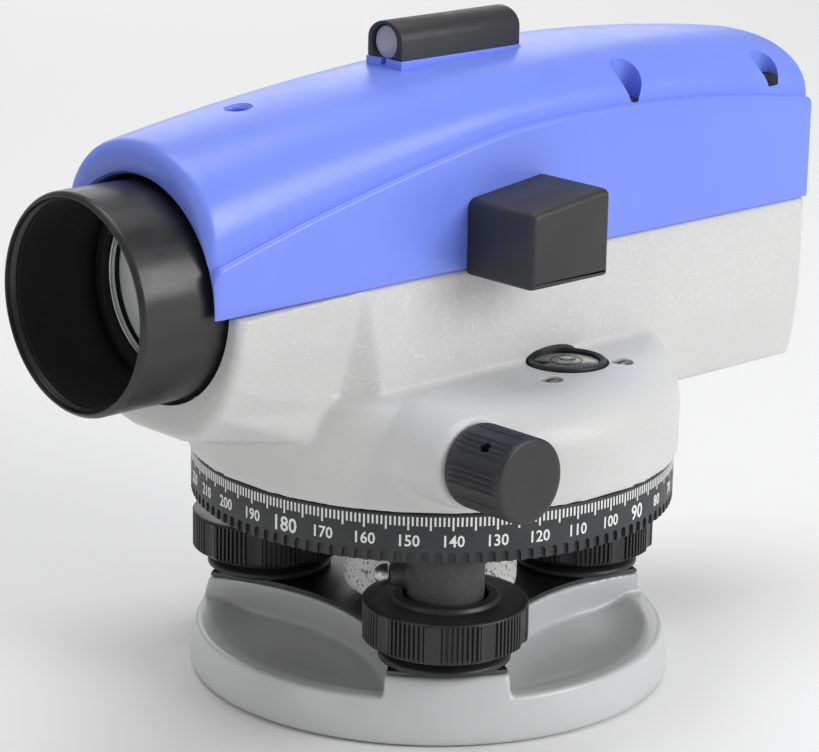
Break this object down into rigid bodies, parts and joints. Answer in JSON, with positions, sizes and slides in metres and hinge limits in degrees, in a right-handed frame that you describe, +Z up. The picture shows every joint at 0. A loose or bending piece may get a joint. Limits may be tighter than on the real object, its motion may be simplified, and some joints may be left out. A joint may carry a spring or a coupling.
{
  "type": "automatic level",
  "caption": "Surveying level with a compensated telescope in a two-part housing, on a geared turning base with a degree circle and levelling foot screws.",
  "frame": {"origin": "centre of the base plate's underside, on the vertical turning axis", "axes": "+Z up along the vertical axis; the line of sight runs along X with the objective at -X and the eyepiece at +X; the bubble and its mirror are on the -Y side"},
  "size_m": [0.2138, 0.132, 0.151],
  "materials": {
    "base_paint": "smooth light grey enamel on die-cast aluminium",
    "body_paint": "light grey textured powder coat",
    "cast_paint": "mid grey paint over rough casting",
    "blue_plastic": "satin periwinkle-blue moulded plastic",
    "black_plastic": "fine-grained black moulded plastic",
    "knob_plastic": "black moulded plastic with a satin ribbed grip",
    "dial_black": "satin black with white engraved degrees",
    "black_metal": "satin black anodised aluminium",
    "spring_steel": "dark oiled spring steel",
    "steel": "turned steel",
    "brass": "machined brass",
    "aluminium": "turned aluminium",
    "lens_glass": "coated optical glass",
    "vial_glass": "glass over a pale fluid and a bubble",
    "mirror": "front-silvered glass",
    "rubber": "soft black rubber"
  },
  "bodies": {
    "levelling_base": {"base_plate": "base_paint", "spring_plate": "spring_steel", "foot_washer_1": "black_plastic", "foot_washer_2": "black_plastic", "foot_washer_3": "black_plastic", "tension_screw_1": "steel", "tension_screw_2": "steel", "tension_screw_3": "steel", "tribrach_body": "cast_paint", "vertical_spindle": "steel"},
    "foot_screw_1": {"foot_screw_knob_1": "knob_plastic", "foot_screw_spindle_1": "steel"},
    "foot_screw_2": {"foot_screw_knob_2": "knob_plastic", "foot_screw_spindle_2": "steel"},
    "foot_screw_3": {"foot_screw_knob_3": "knob_plastic", "foot_screw_spindle_3": "steel"},
    "circle": {"horizontal_circle": "dial_black"},
    "clutch": {"clutch_wheel": "brass"},
    "tangent_drive": {"drive_shaft": "steel", "drive_worm": "steel", "drive_knob_left": "knob_plastic", "drive_knob_right": "knob_plastic", "set_screw_left": "steel", "set_screw_right": "steel"},
    "focus_drive": {"focus_shaft": "steel", "focus_knob": "knob_plastic"},
    "focus_slide": {"focusing_carrier": "aluminium", "focusing_lens": "lens_glass"},
    "compensator": {"pendulum_arm": "brass", "pendulum_prism": "lens_glass"},
    "dioptre": {"dioptre_ring": "black_plastic", "eyepiece_lens": "lens_glass", "eyecup": "rubber"},
    "alidade": {"spindle_bush": "brass", "main_housing": "body_paint", "top_cover": "blue_plastic", "cover_screw_1": "steel", "cover_screw_2": "steel", "cover_screw_3": "steel", "cover_screw_4": "steel", "cover_screw_5": "steel", "objective_hood": "black_metal", "objective_barrel": "black_metal", "lens_retaining_ring": "aluminium", "objective_lens": "lens_glass", "compensator_frame": "aluminium", "damper_magnet": "steel", "fixed_prism": "lens_glass", "reticle_cell": "black_metal", "reticle_glass": "lens_glass", "eyepiece_tube": "black_metal", "vial_cup": "black_plastic", "vial_glass": "vial_glass", "vial_screw_1": "steel", "vial_screw_2": "steel", "mirror_housing": "black_plastic", "bubble_mirror": "mirror", "peep_sight": "black_plastic", "peep_sight_rod": "lens_glass"}
  },
  "joints": [
    {"name": "alidade_turn", "type": "hinge", "parent": "levelling_base", "child": "alidade", "pos_m": [0, 0, 0.06], "axis": [0, 0, 1], "continuous": true},
    {"name": "circle_turn", "type": "hinge", "parent": "levelling_base", "child": "circle", "pos_m": [0, 0, 0.045], "axis": [0, 0, 1], "continuous": true},
    {"name": "foot_screw_1_turn", "type": "hinge", "parent": "levelling_base", "child": "foot_screw_1", "pos_m": [-0.02643, -0.03264, 0.025], "axis": [0, 0, 1], "range_deg": [-900, 900]},
    {"name": "foot_screw_2_turn", "type": "hinge", "parent": "levelling_base", "child": "foot_screw_2", "pos_m": [0.04148, -0.00657, 0.025], "axis": [0, 0, 1], "range_deg": [-900, 900]},
    {"name": "foot_screw_3_turn", "type": "hinge", "parent": "levelling_base", "child": "foot_screw_3", "pos_m": [-0.01505, 0.03921, 0.025], "axis": [0, 0, 1], "range_deg": [-900, 900]},
    {"name": "tangent_drive_turn", "type": "hinge", "parent": "alidade", "child": "tangent_drive", "pos_m": [-0.0351, 0, 0.0663], "axis": [0, 1, 0], "continuous": true},
    {"name": "clutch_turn", "type": "hinge", "parent": "alidade", "child": "clutch", "pos_m": [0, 0, 0.06], "axis": [0, 0, 1], "continuous": true},
    {"name": "focus_turn", "type": "hinge", "parent": "alidade", "child": "focus_drive", "pos_m": [-0.01, 0.03, 0.093], "axis": [0, 1, 0], "range_deg": [-150, 150]},
    {"name": "focus_travel", "type": "slide", "parent": "alidade", "child": "focus_slide", "axis": [1, 0, 0], "range_m": [-0.0087, 0.0087]},
    {"name": "compensator_swing", "type": "hinge", "parent": "alidade", "child": "compensator", "pos_m": [0.04, 0, 0.119], "axis": [0, 1, 0], "range_deg": [-1, 1]},
    {"name": "dioptre_turn", "type": "hinge", "parent": "alidade", "child": "dioptre", "pos_m": [0.105, 0, 0.1015], "axis": [1, 0, 0], "range_deg": [-150, 150]}
  ],
  "couplings": [
    {"joint": "clutch_turn", "follows": "tangent_drive_turn", "ratio": 0.013889},
    {"joint": "focus_travel", "follows": "focus_turn", "m_per_rad": 0.0033}
  ]
}
